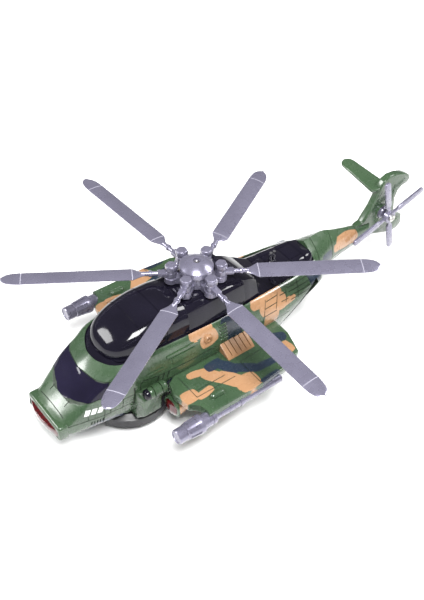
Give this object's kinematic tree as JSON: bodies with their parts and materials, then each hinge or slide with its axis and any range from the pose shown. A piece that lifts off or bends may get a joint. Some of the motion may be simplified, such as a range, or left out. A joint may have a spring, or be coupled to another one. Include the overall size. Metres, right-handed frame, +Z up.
{
  "type": "toy helicopter",
  "caption": "Battery toy helicopter: folding-blade main rotor, spinning tail rotor, stub wings with gun tubes, glossy canopy, swivelling bump-and-go drive under the nose.",
  "frame": {"origin": "on the floor, under the middle of the length and width", "axes": "+X towards the nose, +Y to the port side, +Z up"},
  "size_m": [0.3522, 0.2599, 0.1063],
  "materials": {
    "green_shell": "moulded olive green with printed tan and navy camouflage",
    "red_lens": "dark red tinted lens",
    "black_gloss": "polished black",
    "black_plastic": "satin black",
    "silver_plastic": "silver-lilac metallic paint on plastic",
    "steel": "plated steel",
    "chrome": "bright plating",
    "motor_can": "zinc-plated can",
    "white_gear": "natural nylon",
    "grey_plastic": "dark grey plastic",
    "tyre": "black rubber",
    "cell": "printed battery sleeve",
    "board": "glass-epoxy board"
  },
  "bodies": {
    "fuselage": {"lower_hull": "green_shell", "side_shell_left": "green_shell", "side_shell_right": "green_shell", "nose_cap": "green_shell", "nose_lens": "red_lens", "windscreen": "black_gloss", "forehead": "green_shell", "canopy": "black_gloss", "canopy_rim": "black_gloss", "engine_deck": "black_gloss", "tail_cover": "black_gloss", "cover_pins": "chrome", "tail_boom": "green_shell", "tail_fin": "green_shell", "stabilizer": "green_shell", "tail_gearbox": "silver_plastic", "tail_rotor_screw": "steel", "wing_left": "green_shell", "wing_right": "green_shell", "wing_lamps": "red_lens", "gun_left": "silver_plastic", "gun_right": "silver_plastic", "side_pods": "green_shell", "pod_lenses": "black_gloss", "gear_frame": "grey_plastic", "rotor_motor": "motor_can", "idler_pin": "steel", "turntable_ring": "grey_plastic", "rear_bracket": "black_plastic", "battery_tray": "black_plastic", "battery_cells": "cell", "switch_body": "black_plastic", "circuit_board": "board", "case_screws": "steel"},
    "rotor": {"mast": "steel", "mast_gear": "white_gear", "rotor_hub": "silver_plastic", "hub_cap": "silver_plastic", "cap_screw": "steel", "hinge_bolts": "silver_plastic"},
    "idler": {"idler_gear": "white_gear"},
    "pinion": {"motor_pinion": "white_gear"},
    "tail_rotor": {"tail_rotor": "silver_plastic"},
    "turntable": {"turntable": "black_plastic", "drive_motor": "motor_can"},
    "drive_axle": {"drive_wheels": "grey_plastic", "drive_tyres": "tyre"},
    "drive_idler": {"drive_idler": "white_gear"},
    "drive_pinion": {"drive_pinion": "white_gear"},
    "rear_axle": {"rear_wheels": "grey_plastic", "rear_tyres": "tyre"},
    "battery_door": {"battery_door": "green_shell", "door_screw": "steel"},
    "switch": {"switch_knob": "grey_plastic"},
    "blade_1": {"blade_1": "silver_plastic"},
    "blade_2": {"blade_2": "silver_plastic"},
    "blade_3": {"blade_3": "silver_plastic"},
    "blade_4": {"blade_4": "silver_plastic"},
    "blade_5": {"blade_5": "silver_plastic"},
    "blade_6": {"blade_6": "silver_plastic"}
  },
  "joints": [
    {"name": "rotor_spin", "type": "hinge", "parent": "fuselage", "child": "rotor", "pos_m": [0.0488, 0, 0.09], "axis": [0, 0, 1], "continuous": true},
    {"name": "blade_1_fold", "type": "hinge", "parent": "rotor", "child": "blade_1", "pos_m": [0.0637, 0.00819, 0.0955], "axis": [0, 0, 1], "range_deg": [-20, 20]},
    {"name": "blade_2_fold", "type": "hinge", "parent": "rotor", "child": "blade_2", "pos_m": [0.04916, 0.017, 0.0955], "axis": [0, 0, 1], "range_deg": [-20, 20]},
    {"name": "blade_3_fold", "type": "hinge", "parent": "rotor", "child": "blade_3", "pos_m": [0.03426, 0.00881, 0.0955], "axis": [0, 0, 1], "range_deg": [-20, 20]},
    {"name": "blade_4_fold", "type": "hinge", "parent": "rotor", "child": "blade_4", "pos_m": [0.0339, -0.00819, 0.0955], "axis": [0, 0, 1], "range_deg": [-20, 20]},
    {"name": "blade_5_fold", "type": "hinge", "parent": "rotor", "child": "blade_5", "pos_m": [0.04844, -0.017, 0.0955], "axis": [0, 0, 1], "range_deg": [-24.6, 15.4]},
    {"name": "blade_6_fold", "type": "hinge", "parent": "rotor", "child": "blade_6", "pos_m": [0.06334, -0.00881, 0.0955], "axis": [0, 0, 1], "range_deg": [-20, 20]},
    {"name": "idler_spin", "type": "hinge", "parent": "fuselage", "child": "idler", "pos_m": [0.0332, 0, 0.066], "axis": [0, 0, 1], "continuous": true},
    {"name": "pinion_spin", "type": "hinge", "parent": "fuselage", "child": "pinion", "pos_m": [0.0232, 0, 0.07], "axis": [0, 0, 1], "continuous": true},
    {"name": "tail_rotor_spin", "type": "hinge", "parent": "fuselage", "child": "tail_rotor", "pos_m": [-0.1392, 0.011, 0.067], "axis": [0, 1, 0], "continuous": true},
    {"name": "turntable_swivel", "type": "hinge", "parent": "fuselage", "child": "turntable", "pos_m": [0.1058, 0, 0.02], "axis": [0, 0, 1], "continuous": true},
    {"name": "drive_axle_spin", "type": "hinge", "parent": "turntable", "child": "drive_axle", "pos_m": [0.1098, 0, 0.01], "axis": [0, 1, 0], "continuous": true},
    {"name": "drive_idler_spin", "type": "hinge", "parent": "turntable", "child": "drive_idler", "pos_m": [0.1098, 0, 0.018], "axis": [0, 1, 0], "continuous": true},
    {"name": "drive_pinion_spin", "type": "hinge", "parent": "turntable", "child": "drive_pinion", "pos_m": [0.1098, 0, 0.026], "axis": [0, 1, 0], "continuous": true},
    {"name": "rear_axle_spin", "type": "hinge", "parent": "fuselage", "child": "rear_axle", "pos_m": [-0.0112, 0, 0.01], "axis": [0, 1, 0], "continuous": true},
    {"name": "battery_door_hinge", "type": "hinge", "parent": "fuselage", "child": "battery_door", "pos_m": [0.0548, 0, 0.018], "axis": [0, 1, 0], "range_deg": [-50, 0]},
    {"name": "switch_slide", "type": "slide", "parent": "fuselage", "child": "switch", "axis": [1, 0, 0], "range_m": [0, 0.0064]}
  ],
  "couplings": [
    {"joint": "idler_spin", "follows": "rotor_spin", "ratio": -3.3333},
    {"joint": "pinion_spin", "follows": "rotor_spin", "ratio": 13.333},
    {"joint": "drive_idler_spin", "follows": "drive_axle_spin", "ratio": -1},
    {"joint": "drive_pinion_spin", "follows": "drive_axle_spin", "ratio": 2.2}
  ]
}
